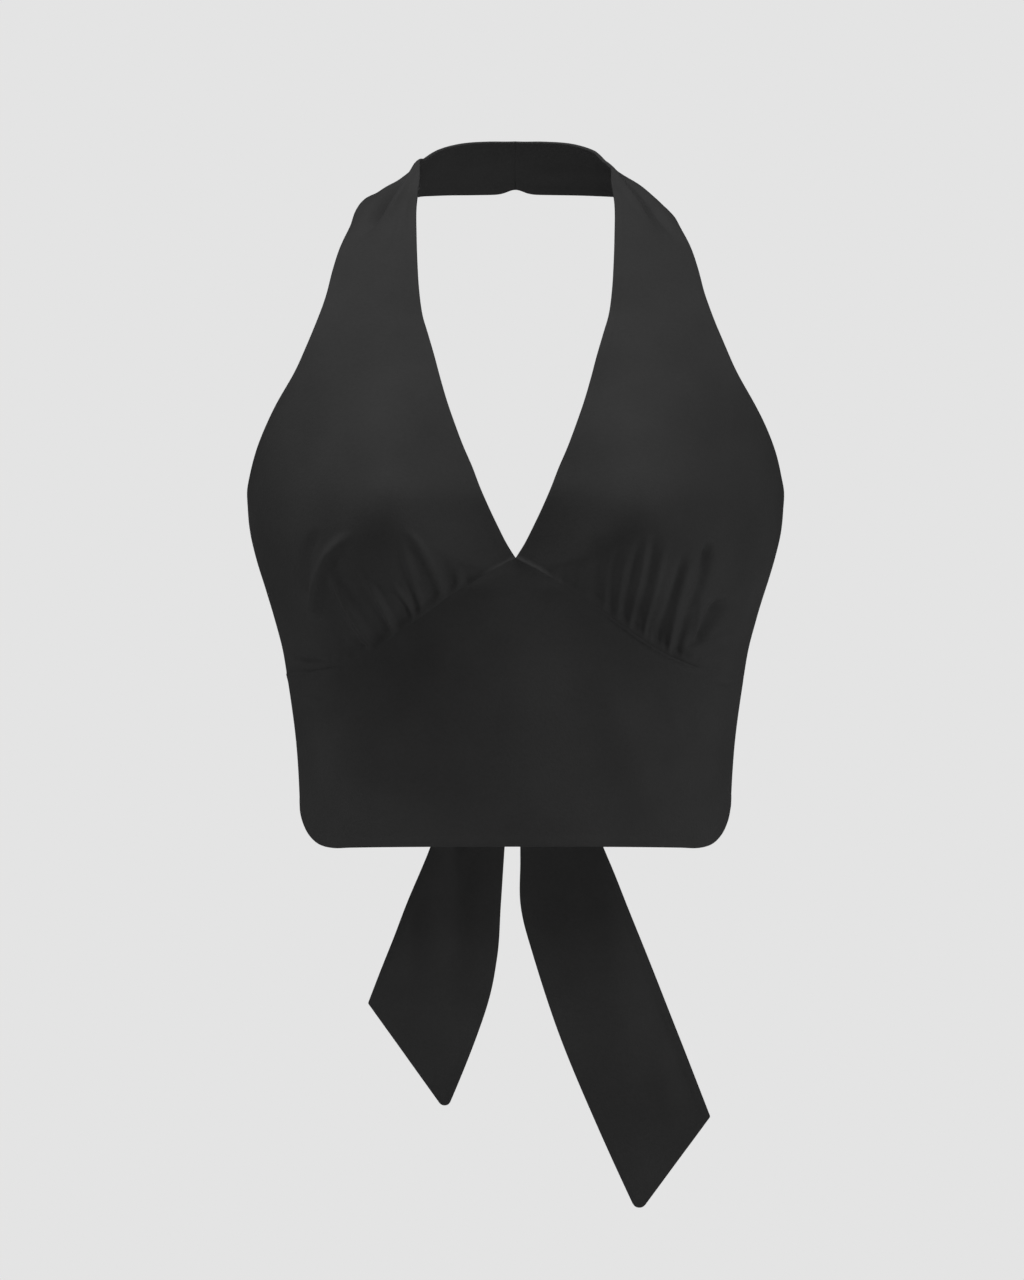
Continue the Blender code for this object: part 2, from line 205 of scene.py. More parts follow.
# Gathers above the under-bust seam, by the wearer's side, as curves through a foot, the middle height
# and a top, with x measured outwards. A negative depth is a ridge. Depths and half widths are given at
# the foot and at the top. The first of each side is the broad hollow that the others lie in.
GATHERS = {
    1: table(
        "foot_x foot_z mid_x top_x top_z foot_depth top_depth foot_width top_width",
        (88.0, -293, 72.0, 56.0, -260, 1.6, 2.4, 10.0, 15.0),
        (45.0, -267, 46.0, 47.5, -231, 1.2, 1.0, 3.4, 5.0),
        (53.8, -274, 55.0, 57.4, -236, 0.6, 1.2, 1.6, 2.0),
        (58.0, -277, 59.8, 62.4, -240, -0.6, -0.9, 1.3, 1.8),
        (60.8, -279, 65.0, 69.8, -232, 0.5, 1.5, 1.9, 2.4),
        (65.0, -281, 69.8, 74.0, -233, -0.6, -0.9, 1.3, 1.8),
        (67.9, -283, 74.6, 78.2, -228, 0.3, 1.4, 2.0, 2.6),
        (72.8, -287, 79.0, 85.0, -232, -0.9, -1.5, 1.5, 2.8),
        (80.0, -291, 88.0, 95.6, -238, 0.8, 1.8, 2.6, 2.8),
        (88.4, -296, 92.8, 101.4, -238, -1.5, -1.6, 2.0, 3.2),
        (92.0, -302, 94.8, 99.6, -270, 1.6, 2.2, 2.6, 3.0),
        (101.6, -264, 108.0, 110.2, -232, 2.0, 6.4, 3.2, 2.9),
        (104.0, -286, 105.6, 107.2, -262, -1.6, -1.0, 1.9, 2.6),
        (105.5, -286, 113.0, 120.0, -264, 3.6, 6.4, 3.4, 5.2),
    ),
    -1: table(
        "foot_x foot_z mid_x top_x top_z foot_depth top_depth foot_width top_width",
        (80.0, -289, 60.0, 42.0, -256, 1.8, 2.6, 12.0, 17.0),
        (121.0, -256, 120.0, 115.0, -226, 1.8, 1.8, 3.4, 4.0),
        (115.5, -266, 110.5, 99.0, -229, -3.4, -4.6, 4.2, 4.6),
        (100.0, -285, 104.5, 98.5, -238, 0.6, 1.0, 4.0, 4.0),
        (80.4, -292, 94.0, 104.4, -249, -3.2, -3.6, 3.2, 3.3),
        (85.5, -291, 91.0, 95.4, -275, -0.9, -0.9, 1.1, 1.2),
        (68.6, -285, 76.2, 85.6, -251, -3.6, -2.2, 2.3, 2.1),
        (57.6, -276, 63.3, 71.6, -253, -1.9, -1.5, 1.5, 1.7),
        (55.0, -275, 61.2, 67.0, -238, 0.3, 0.5, 1.3, 1.6),
        (51.9, -274, 58.3, 64.6, -234, -1.5, -1.8, 2.1, 2.1),
        (46.4, -271, 53.0, 61.5, -233, 0.2, 0.3, 2.0, 2.2),
        (40.6, -266, 47.6, 59.2, -227, -2.8, -2.4, 2.3, 3.0),
        (37.6, -265, 38.6, 42.0, -240, 0.7, 0.6, 1.8, 2.4),
        (35.8, -264, 32.6, 34.0, -246, -2.0, -1.4, 1.5, 1.7),
    ),
}
# Folds of the strap over the shoulder: row and fraction across, from the neck edge, at the top and at
# the foot, the fraction at the middle row, the depth, and the half widths on the fold's two sides.
STRAP_FOLDS = {
    1: table(
        "top_row top_u mid_u low_row low_u depth inner_width outer_width",
        (19.2, 0.30, 0.56, 15.0, 0.76, 6.0, 0.30, 0.13),
        (17.8, 0.00, 0.24, 15.4, 0.50, -2.4, 0.08, 0.08),
        (19.8, 0.80, 0.85, 16.8, 0.90, 2.2, 0.28, 0.28),
        (22.6, 0.62, 0.56, 18.9, 0.50, 0.8, 0.13, 0.13),
    ),
    -1: table(
        "top_row top_u mid_u low_row low_u depth inner_width outer_width",
        (18.9, 0.26, 0.44, 15.3, 0.66, 13.0, 0.11, 0.16),
        (18.4, 0.00, 0.20, 15.2, 0.50, -2.4, 0.07, 0.07),
        (16.4, 0.12, 0.20, 14.0, 0.34, 1.2, 0.09, 0.09),
        (19.0, 0.92, 0.92, 16.4, 0.96, -2.6, 0.12, 0.12),
        (20.2, 0.80, 0.82, 18.0, 0.84, 3.0, 0.28, 0.28),
        (22.4, 0.40, 0.50, 19.2, 0.58, 0.7, 0.13, 0.13),
    ),
}
# Where the strap drops back outside a fold: the fold's row and fraction across at both ends, how far
# back, and over what fraction across.
STRAP_DROPS = {
    1: table("top_row top_u low_row low_u back width", (19.4, -0.04, 15.0, 0.50, 15.0, 0.50)),
    -1: table("top_row top_u low_row low_u back width", (20.0, 0.40, 17.8, 0.76, 5.0, 0.30)),
}
DROP_WAY = np.array([0.0, 1.0, 0.1])  # backwards and a little up
# How far the folded allowance stands the under-bust seam up, and its half widths above and below it.
SEAM_RIB = table(
    "x height above below",
    (-137, 0.00, 0.9, 3.0),
    (-132, 0.95, 0.9, 3.0),
    (-108, 0.95, 0.9, 3.0),
    (-96, 0.05, 1.0, 2.5),
    (-42, 0.10, 1.0, 2.5),
    (-28, 0.90, 0.9, 3.0),
    (0, 1.10, 0.9, 3.0),
    (44, 1.10, 0.9, 3.0),
    (56, 1.50, 0.8, 2.2),
    (98, 1.60, 0.8, 2.2),
    (112, 0.05, 1.5, 2.0),
    (137, 0.00, 1.5, 2.0),
)
# Loose creases anywhere on the front: both ends, depth (negative stands up) and half width.
CREASES = table(
    "x0 z0 x1 z1 depth half_width",
    (-133, -288, -116, -297, -1.00, 3.0),
    (-131, -296.5, -106, -300, 0.80, 1.5),
    (-130, -300, -105, -303.5, -1.00, 2.0),
    (-127, -319, -108, -325, 0.55, 1.9),
    (-127, -326, -110, -330, -0.35, 2.2),
    (103, -296, 132, -286, 0.65, 2.6),
    (104, -291, 131, -281, -0.45, 2.6),
    (114, -311, 128, -313, 0.50, 1.8),
    (48, -296, 88, -410, -2.40, 13.0),
    (82, -308, 100, -352, -0.90, 4.5),
    (-40, -300, -78, -392, -0.50, 9.0),
    (-96, -322, -112, -384, -0.60, 6.0),
    (96, -150, 118, -186, 0.45, 9.0),
    (-92, -146, -120, -182, 0.40, 9.0),
)


def curve(places, values, at):
    """Smooth curve through the table's points: cubic between neighbours, with three-point slopes."""
    slopes = np.gradient(values, places, axis=0, edge_order=2)
    at = np.clip(at, places[0], places[-1])
    left = np.clip(np.searchsorted(places, at, side="right") - 1, 0, len(places) - 2)
    span = places[left + 1] - places[left]
    t = (at - places[left]) / span
    spread = np.shape(t) + (1,) * (np.ndim(values) - 1)
    span, t = np.reshape(span, spread), np.reshape(t, spread)
    value = values[left] * (2 * t**3 - 3 * t**2 + 1) + values[left + 1] * (3 * t**2 - 2 * t**3)
    return value + span * (slopes[left] * (t**3 - 2 * t**2 + t) + slopes[left + 1] * (t**3 - t**2))


def read(rows, column, at, by="angle"):
    """Smooth value of a table's column at places in another of its columns."""
    return curve(rows[by], rows[column], at)


def ease(x, low, high):
    """Smooth step from 0 at low to 1 at high."""
    t = np.clip((x - low) / (high - low), 0, 1)
    return t * t * (3 - 2 * t)


def bell(distance, half_width):
    """Bell curve: 1 on the line, and about a third at the half width from it."""
    return np.exp(-((distance / half_width) ** 2))


def parabola(t, foot, middle, top):
    """Parabola through three values, at t = 0, 0.5 and 1."""
    return foot * (1 - t) * (1 - 2 * t) + middle * 4 * t * (1 - t) + top * t * (2 * t - 1)


def unit(vectors):
    """Vectors divided by their length."""
    return vectors / np.maximum(np.linalg.norm(vectors, axis=-1, keepdims=True), 1e-9)


def slope_from_point(t, soft):
    """0 at the point and 1 at the far end: straight, but for a round of that size at the point."""
    return (np.sqrt(t**2 + soft**2) - soft) / (math.sqrt(1 + soft**2) - soft)


LEAST_UNDER = 12.0  # least height that a cup's underside is worked out with


def bust(x, z, seam_z):
    """How far a cup stands out: drawn nearly straight from the strap to its point, and back from there
    to the under-bust seam. The crest between the two is an arch, and the hill dies out to each side."""
    off = np.abs(x) - BUST_X
    crest = BUST_Z - CREST_DROP * (1 - bell(off, CREST_HALF_WIDTH))
    below = np.clip((crest - z) / np.maximum(crest - seam_z, LEAST_UNDER), 0, 1)
    above = np.clip((z - crest) / (BUST_TOP_Z - crest), 0, 1)
    under = 1 - slope_from_point(below, UNDER_SOFT) ** UNDER_POWER
    over = (1 - slope_from_point(above, OVER_SOFT)) ** OVER_POWER
    spread = np.where(off < 0, INNER_SPREAD, OUTER_SPREAD)
    return BUST_OUT * np.where(z < crest, under, over) * bell(off, spread)


def figure(angle, z):
    """Point of the cloth's outer face: a squared ellipse in each horizontal section, with the cups'
    hills added towards the front."""
    s, c = np.sin(np.radians(angle)), np.cos(np.radians(angle))
    width = read(FIGURE, "half_width", z, by="z")
    depth = np.where(c > 0, read(FIGURE, "front", z, by="z"), read(FIGURE, "back", z, by="z"))
    x = width * s * (1 + SQUARENESS * c**2)
    y = SIDE_Y - depth * c * (1 + SQUARENESS * s**2)
    seam_z = read(UNDERBUST, "z", np.minimum(np.abs(angle), SIDE_ANGLE))
    front = np.where(c > 0, 1 - np.abs(s) ** SIDE_FADE, 0)
    y = y - front * bust(x, z, seam_z)
    return np.stack([x, y, z + 0 * x], axis=-1)


def edge_spaced(length, count, crowd=0.0, crowd_at=0.5):
    """Places along each line of the given lengths: close rings beside both ends, even between or
    crowded by that share about one place. Returns fractions, one row for each length."""
    length = np.atleast_1d(length)[:, None]
    ring = np.array(EDGE_STEPS)[None, :]
    inner = np.linspace(0, 1, count + 2)[None, 1:-1]
    turn = 2 * math.pi
    inner = inner - crowd / turn * (np.sin(turn * (inner - crowd_at)) + math.sin(turn * crowd_at))
    middle = ring[:, -1:] + (length - 2 * ring[:, -1:]) * inner
    return np.concatenate([ring + 0 * length, middle, length - ring[:, ::-1]], axis=1) / length


def normals(points):
    """Unit normal at each point of a grid: across the columns' direction and the rows'."""
    return unit(np.cross(np.gradient(points, axis=1), np.gradient(points, axis=0)))


def run_lengths(points, axis):
    """Distance along a grid from its first line, and to its last line."""
    step = np.linalg.norm(np.diff(points, axis=axis), axis=-1)
    pad = [(0, 0), (0, 0)]
    pad[axis] = (1, 0)
    run = np.cumsum(np.pad(step, pad), axis=axis)
    return run, np.take(run, [-1], axis=axis) - run


def rounded(distance, radius):
    """Drop of a face beside an edge: a quarter circle of that radius."""
    near = np.clip(radius - distance, 0, radius)
    return radius - np.sqrt(np.maximum(radius**2 - near**2, 0))


def creased(x, z, rows):
    """Height change of straight creases: each a bell across its line that fades at both ends."""
    total = np.zeros_like(x)
    for x0, z0, x1, z1, depth, half_width in zip(*rows.values()):
        run = np.array([x1 - x0, z1 - z0])
        length = np.hypot(*run)
        t = ((x - x0) * run[0] + (z - z0) * run[1]) / length**2
        off = ((x - x0) * run[1] - (z - z0) * run[0]) / length
        fade = ease(t, -0.05, 0.4) * (1 - ease(t, 0.6, 1.05))
        total -= depth * fade * bell(off, half_width)
    return total


def gathers(x, z, rows):
    """Height change of the gathers: each a bell across a parabola through its foot, middle and top. Its
    depth and width run evenly from foot to top, and it dies out past both ends."""
    total = np.zeros_like(x)
    for foot_x, foot_z, mid_x, top_x, top_z, *sizes in zip(*rows.values()):
        foot_depth, top_depth, foot_width, top_width = sizes
        t = np.clip((z - foot_z) / (top_z - foot_z), -0.4, 1.5)
        width = foot_width + (top_width - foot_width) * np.clip(t, 0, 1)
        depth = foot_depth + (top_depth - foot_depth) * np.clip(t, 0, 1)
        ends = ease(t, -0.3, -0.05) * (1 - ease(t, 0.75, 1.14))
        total -= depth * ends * bell(x - parabola(t, foot_x, mid_x, top_x), width)
    return total


def seam_rib(x, away, side):
    """Low rib where the allowance is folded under a seam: a bell by the distance above or below it,
    with a height and half width that run straight between the table's rows."""
    height, half_width = (np.interp(x, SEAM_RIB["x"], SEAM_RIB[column]) for column in ("height", side))
    return height * bell(away, half_width)


# Least and greatest size of a tuck beside a seam, and how far one is shifted along it.
PUCKER_HEIGHT, PUCKER_DEPTH, PUCKER_WIDTH, PUCKER_SHIFT = (5, 13), (0.14, 0.42), (1.0, 1.7), 1.2


def puckers(x, above, seed, low, high, count):
    """Small uneven tucks where the thread draws the seam up: short bells across the seam, deepest a
    quarter of their height above it."""
    chance = np.random.default_rng(seed)
    total = np.zeros_like(x)
    places = np.linspace(low, high, count) + chance.uniform(-PUCKER_SHIFT, PUCKER_SHIFT, count)
    for place, tall, deep, wide in zip(
        places,
        chance.uniform(*PUCKER_HEIGHT, count),
        chance.uniform(*PUCKER_DEPTH, count),
        chance.uniform(*PUCKER_WIDTH, count),
    ):
        t = above / tall
        total -= deep * np.exp(-((t - 0.25) ** 2) * 3) * bell(x - place, wide)
    return total


SLACK_WAVES = 7
SLACK_SHORTEST, SLACK_STEP = 0.7, 0.25  # lengths of the waves, beside the size asked for
SLACK_SWAY, SLACK_SWAY_RATE = 1.3, 0.37  # how far, and how slowly, a wave is stretched and squeezed


def slack(x, z, seed, size, amount):
    """Uneven ease of the cloth: a few long sine waves of different size and direction, each slowly
    stretched and squeezed along its length."""
    chance = np.random.default_rng(seed)
    total = np.zeros_like(x)
    for wave in range(SLACK_WAVES):
        length = size * (SLACK_SHORTEST + SLACK_STEP * wave)
        turn = chance.uniform(0, math.pi)
        phase = chance.uniform(0, 2 * math.pi)
        along = (x * math.cos(turn) + z * math.sin(turn)) * 2 * math.pi / length
        sway = SLACK_SWAY * np.sin(along * SLACK_SWAY_RATE + phase)
        total += np.sin(along + phase + sway)
    return amount * total / SLACK_WAVES


def mesh_object(name, points, faces, uv):
    """Mesh from whole arrays of points, quads and a texture map, all taken in millimetres and
    written in metres."""
    mesh = bpy.data.meshes.new(name)
    mesh.vertices.add(len(points))
    mesh.vertices.foreach_set("co", (points * MM).astype(np.float32).ravel())
    mesh.loops.add(faces.size)
    mesh.loops.foreach_set("vertex_index", faces.astype(np.int32).ravel())
    mesh.polygons.add(len(faces))
    mesh.polygons.foreach_set("loop_start", np.arange(0, faces.size, 4, dtype=np.int32))
    mesh.polygons.foreach_set("loop_total", np.full(len(faces), 4, np.int32))
    mesh.update(calc_edges=True)
    layer = mesh.uv_layers.new(name="cloth")
    layer.data.foreach_set("uv", (uv[faces.ravel()] * MM).astype(np.float32).ravel())
    mesh.validate()
    mesh.shade_smooth()
    made = bpy.data.objects.new(name, mesh)
    bpy.context.scene.collection.objects.link(made)
    return made


def quads(index):
    """Faces of a grid, from the numbers of its points."""
    corners = index[:-1, :-1], index[:-1, 1:], index[1:, 1:], index[1:, :-1]
    return np.stack([corner.ravel() for corner in corners], axis=1)


def edge_angles(start, end, reach, count):
    """Angles round the body from one edge of a panel to the other, with close rings beside both, at
    that distance from the body's middle."""
    ring = np.degrees(np.array(EDGE_STEPS) / reach)
    middle = np.linspace(start + ring[-1], end - ring[-1], count)[1:-1]
    return np.concatenate([start + ring, middle, end - ring[::-1]])


def cloth_wall(name, face, sewn, drawn_in=SEAM_DIP, flip=False):
    """Closed cloth wall under a grid of its outer face. The wall's faces curve together at every
    edge. Where sewn names an edge (left, right, foot or head) with a share above 0, the edge is drawn
    in and runs on a little past its seam."""
    rows, columns = face.shape[:2]
    across, up = unit(np.gradient(face, axis=1)), unit(np.gradient(face, axis=0))
    out = unit(np.cross(across, up)) * (-1 if flip else 1)
    left, right = run_lengths(face, 1)
    foot, head = run_lengths(face, 0)
    drop, bulk, dip = np.zeros((3, rows, columns))
    for edge, distance, away in (
        ("left", left, -across),
        ("right", right, across),
        ("foot", foot, -up),
        ("head", head, up),
    ):
        share = sewn.get(edge, 0.0)
        turned = share * rounded(distance, SEWN_EDGE_ROUND)
        drop = np.maximum(drop, turned + (1 - share) * rounded(distance, FREE_EDGE_ROUND))
        dip = np.maximum(dip, share * drawn_in * bell(distance, SEAM_DIP_WIDTH))
        folded = 1 - ease(distance, EDGE_BULK_WIDTH - EDGE_BULK_FADE, EDGE_BULK_WIDTH)
        bulk = np.maximum(bulk, (1 - share) * EDGE_BULK * folded)
        past = SEAM_OVERLAP * (share > 0) * (1 - ease(distance, 0, SEAM_OVERLAP_FADE))
        face = face + away * past[..., None]
    outer = face + out * (bulk - drop - dip)[..., None]
    inner = face + out * (drop - WALL - bulk - dip)[..., None]
    points = np.concatenate([outer.reshape(-1, 3), inner.reshape(-1, 3)])
    index = np.arange(rows * columns).reshape(rows, columns)
    back = quads(index + rows * columns)[:, ::-1]
    ring = np.concatenate([index[0, :-1], index[:-1, -1], index[-1, :0:-1], index[:0:-1, 0]])
    after = np.roll(ring, -1)
    rim = np.stack([after, ring, ring + rows * columns, after + rows * columns], axis=1)
    faces = np.concatenate([quads(index), back, rim])
    if flip:
        faces = faces[:, ::-1]
    flat = np.stack([left, foot], axis=-1).reshape(-1, 2)
    return mesh_object(name, points, faces, np.concatenate([flat, flat]))


LEVEL_ROW = 7.0  # the cup's rows lose the under-bust seam's shape up to this one


def chest_at(at, u):
    """Point of a cup over the chest, at a row number and a fraction across from the neck edge: on the
    figure, between the row's two ends, with the seam's shape added in the lowest rows."""
    place = np.arange(CHEST_ROWS, dtype=float)
    side_angle = np.minimum(curve(place, CUP_ROWS["side_angle"], at), SIDE_ANGLE)
    neck_angle = np.maximum(curve(place, CUP_ROWS["neck_angle"], at), 0)
    neck_z = curve(place, CUP_ROWS["neck_z"], at)
    side_z = curve(place, CUP_ROWS["side_z"], at)
    straight = neck_z + (side_z - neck_z) * u
    first, last = CUP_ROWS["neck_z"][0], CUP_ROWS["side_z"][0]
    seam_shape = read(UNDERBUST, "z", SIDE_ANGLE * u) - (first + (last - first) * u)
    dip = np.clip(1 - at / LEVEL_ROW, 0, 1)
    return figure(neck_angle + (side_angle - neck_angle) * u, straight + seam_shape * dip)


def strap_at(at, u):
    """Point of the strap, at a row number counted on from the chest and a fraction across: between
    its two edges, bowed out as a parabola square to them and to the strap's way."""
    shared = np.arange(CHEST_ROWS - SHARED_ROWS, CHEST_ROWS, dtype=float)[:, None]
    start = chest_at(shared, np.array([[0.0, 0.5, 1.0]]))
    neck = np.stack([STRAP_ROWS["neck_" + axis] for axis in "xyz"], axis=-1)
    edge = np.stack([STRAP_ROWS["edge_" + axis] for axis in "xyz"], axis=-1)
    neck = np.concatenate([start[:, 0], neck])
    edge = np.concatenate([start[:, 2], edge])
    middle = (neck + edge) / 2
    rise = np.linalg.norm(start[:, 1] - middle[:SHARED_ROWS], axis=-1)
    bow = np.concatenate([rise, STRAP_ROWS["bow"]])
    out = unit(np.cross(edge - neck, np.gradient(middle, axis=0)))
    place = np.arange(len(bow)) + CHEST_ROWS - float(SHARED_ROWS)
    at = at[:, 0]
    neck, edge, out = curve(place, neck, at), curve(place, edge, at), unit(curve(place, out, at))
    arch = 4 * u * (1 - u) * curve(place, bow, at)[:, None]
    return neck[:, None] + (edge - neck)[:, None] * u[..., None] + out[:, None] * arch[..., None]


MIX_ROWS = 2.6, 1.0  # how many rows before the chest's end the strap's form begins and takes over


def cup_surface(at, u):
    """Whole cup: the chest's form below, run smoothly into the strap's above."""
    low = chest_at(np.minimum(at, CHEST_ROWS - 1.0), u)
    high = strap_at(np.maximum(at, CHEST_ROWS - float(SHARED_ROWS)), u)
    begin, end = (CHEST_ROWS - rows for rows in MIX_ROWS)
    mix = ease(at, begin, end)[..., None]
    return low * (1 - mix) + high * mix


def strap_folds(at, u, side):
    """Height change of the folds over the shoulder: each a bell across a parabola, by row and fraction
    across, with its own width on either side. It dies out at both ends."""
    total = 0.0 * at * u
    for top_row, top_u, mid_u, low_row, low_u, depth, inner, outer in zip(*STRAP_FOLDS[side].values()):
        t = np.clip((at - low_row) / (top_row - low_row), -0.3, 1.3)
        off = u - parabola(t, low_u, mid_u, top_u)
        fade = ease(t, -0.1, 0.4) * (1 - ease(t, 0.85, 1.15))
        total -= depth * fade * bell(off, np.where(off < 0, inner, outer))
    return total


def strap_drop(at, u, side):
    """How far the strap drops back outside a fold: it eases in across the strap from the fold's line
    and dies out at both ends."""
    total = 0.0 * at * u
    for top_row, top_u, low_row, low_u, back, width in zip(*STRAP_DROPS[side].values()):
        t = (at - low_row) / (top_row - low_row)
        line = low_u + (top_u - low_u) * t
        total += back * ease(t, 0, 0.35) * (1 - ease(t, 0.75, 1.1)) * ease(u, line, line + width)
    return total


CUP_GATHERED, CUP_PLAIN, CUP_ACROSS = 92, 142, 180  # rows of faces low and high in a cup, and across
GATHERED_ROW = 5.0  # where the close rows end
CUP_ROW_HEIGHT = 10.0  # of the first row; the last is half that
MEASURED_ACROSS = 41  # points across a row that its length is measured with
SIDE_SEAM_ROW, SIDE_SEAM_END = 6.0, (5.7, 6.2)  # where the side seam gives way to the armhole
CREASES_FROM = 90.0, 130.0  # depths below the nape between which the creases come in
CUP_SLACK_FROM = 2.0, 30.0  # heights above the seam between which the uneven ease comes in
GATHER_FADE = 4.0  # distance above the seam within which everything dies out
PLAIN_ROWS = 2  # rows before the strap's end within which everything dies out
FLAT_SIDE = 0.95  # fraction across past which everything dies out at the side seam
NAPE_ROW = 20  # the rows past this one lie behind the neck
NAPE_TUCK, NAPE_TUCK_WIDTH = 3.4, 6.7  # the centre-back seam draws up the strap's lower edge


def cup(side, name):
    """Cup with its half of the strap: its rows' form, moved along its normals by the gathers, tucks,
    creases and folds, then with the strap's drop and the tuck at the nape."""
    top = CHEST_ROWS + len(STRAP_ROWS["bow"]) - 1.0
    ring = np.array(EDGE_STEPS) / CUP_ROW_HEIGHT
    gathered = np.linspace(ring[-1], GATHERED_ROW, CUP_GATHERED)[1:]
    plain = np.linspace(GATHERED_ROW, top - 2 * ring[-1], CUP_PLAIN)[1:-1]
    at = np.concatenate([ring, gathered, plain, top - 2 * ring[::-1]])[:, None]
    rough = cup_surface(at, np.linspace(0, 1, MEASURED_ACROSS)[None, :])
    length = np.linalg.norm(np.diff(rough, axis=1), axis=-1).sum(axis=1)
    u = edge_spaced(length, CUP_ACROSS, crowd=0.4, crowd_at=0.4)
    points = cup_surface(at, u)
    x, z = points[..., 0], points[..., 2]
    above = z - curve(u[0], z[0], u)
    height = gathers(x, z, GATHERS[side])
    height += puckers(x, above, seed=11 + side, low=34, high=122, count=30)
    height += creased(x * side, z, CREASES) * ease(-z, *CREASES_FROM)
    height += slack(x, z, seed=5 + side, size=46.0, amount=0.55) * ease(above, *CUP_SLACK_FROM)
    height += strap_folds(at, u, side)
    side_seam = 1 - ease(at, *SIDE_SEAM_END)
    height *= ease(above, 0, GATHER_FADE) * (1 - ease(at, top - PLAIN_ROWS, top))
    height *= 1 - side_seam * ease(u, FLAT_SIDE, 1)
    height += seam_rib(x * side, above, "above")
    points = points + normals(points) * height[..., None]
    points = points + strap_drop(at, u, side)[..., None] * DROP_WAY
    drawn_up = NAPE_TUCK * (at > NAPE_ROW) * bell(points[..., 0], NAPE_TUCK_WIDTH) * u**4
    points = points + unit(points[:, :1] - points[:, -1:]) * drawn_up[..., None]
    in_front = np.minimum(points[..., 1], SIDE_Y)
    points[..., 1] = np.where(at < SIDE_SEAM_ROW, in_front, points[..., 1])
    points[..., 0] = np.maximum(points[..., 0], 0) * side
    sewn = {"foot": 1.0, "head": 0.85, "right": 0.6 * side_seam}
    return cloth_wall(name, points, sewn, drawn_in=0.0, flip=side < 0)


MIDRIFF_ACROSS, MIDRIFF_UP, MIDRIFF_MIDDLE_Z = 230, 96, -350.0
PUCKERS_BELOW = 0.6  # how deep the tucks are below the under-bust seam, beside those above it
MIDRIFF_FADE = 6.0  # mm below that seam, and degrees from a side seam, within which all dies out


def midriff(name):
    """Midriff front: the figure's form from the hem up to the pointed under-bust seam, moved along its
    normals by the creases and tucks."""
    reach = read(FIGURE, "front", np.array([MIDRIFF_MIDDLE_Z]), by="z")[0]
    angle = edge_angles(-SIDE_ANGLE, SIDE_ANGLE, reach, MIDRIFF_ACROSS)
    low = read(HEM, "z", np.abs(angle))
    high = read(UNDERBUST, "z", np.abs(angle))
    t = edge_spaced(high - low, MIDRIFF_UP).T
    points = figure(angle[None, :] + 0 * t, low + (high - low) * t)
    x, z = points[..., 0], points[..., 2]
    below = high - z
    height = creased(x, z, CREASES)
    height += slack(x, z, seed=3, size=60.0, amount=0.55)
    height += puckers(np.abs(x), below, seed=23, low=30, high=124, count=34) * PUCKERS_BELOW
    height *= ease(below, 0, MIDRIFF_FADE) * ease(SIDE_ANGLE - np.abs(angle), 0, MIDRIFF_FADE)
    height += seam_rib(x, below, "below")
    points = points + normals(points) * height[..., None]
    points[..., 1] = np.minimum(points[..., 1], SIDE_Y)
    return cloth_wall(name, points, {"head": 1.0, "left": 1.0, "right": 1.0}, drawn_in=0.0)


WING_END = 171.0  # angle at which a wing goes into the knot
WING_IN_KNOT = 1.5  # how far its end is inside the knot's side
WING_ACROSS, WING_UP, WING_MIDDLE_Z = 150, 90, -330.0
WING_SLACK_FROM = 92.0, 105.0  # angles between which the uneven ease comes in
WING_FOLD_SPREAD = 1.5  # a fold's width where it dies out, beside that at the knot
# Folds of a back wing that run together at the knot: height up the knot end, height where the fold
# dies out, the angle there, depth and half width.
WING_FOLDS = table(
    "knot_t far_t far_angle depth half_width",
    (0.12, 0.10, 134, 1.3, 0.055),
    (0.24, 0.24, 122, -1.2, 0.055),
    (0.37, 0.40, 112, 1.7, 0.060),
    (0.50, 0.52, 126, -1.2, 0.055),
    (0.62, 0.66, 116, 1.6, 0.060),
    (0.75, 0.78, 128, -1.0, 0.055),
    (0.87, 0.90, 138, 1.1, 0.050),
)


def wing(side, name):
    """Back wing: the figure's form from the side seam round to the knot, drawn up into folds, each a
    bell across a line that runs to the knot."""
    reach = read(FIGURE, "back", np.array([WING_MIDDLE_Z]), by="z")[0]
    angle = edge_angles(SIDE_ANGLE, WING_END, reach, WING_ACROSS)
    low, high = read(HEM, "z", angle), read(WING_TOP, "z", angle)
    t = edge_spaced(high - low, WING_UP).T
    points = figure(angle[None, :] + 0 * t, low + (high - low) * t)
    x, z = points[..., 0], points[..., 2]
    height = slack(x, z, seed=8 + side, size=52.0, amount=0.6) * ease(angle, *WING_SLACK_FROM)
    for knot_t, far_t, far_angle, depth, half_width in zip(*WING_FOLDS.values()):
        along = (angle - far_angle) / (WING_END - far_angle)
        line = far_t + (knot_t - far_t) * along
        wide = half_width * (WING_FOLD_SPREAD - (WING_FOLD_SPREAD - 1) * along)
        height -= depth * ease(along, 0, 0.9) * bell(t - line, wide)
    points = points + normals(points) * height[..., None]
    points[..., 1] = np.maximum(points[..., 1], SIDE_Y)
    points[:, -1, 0] = KNOT_HALF[0] - WING_IN_KNOT
    points[..., 0] *= side
    return cloth_wall(name, points, {"left": 1.0}, flip=side < 0)


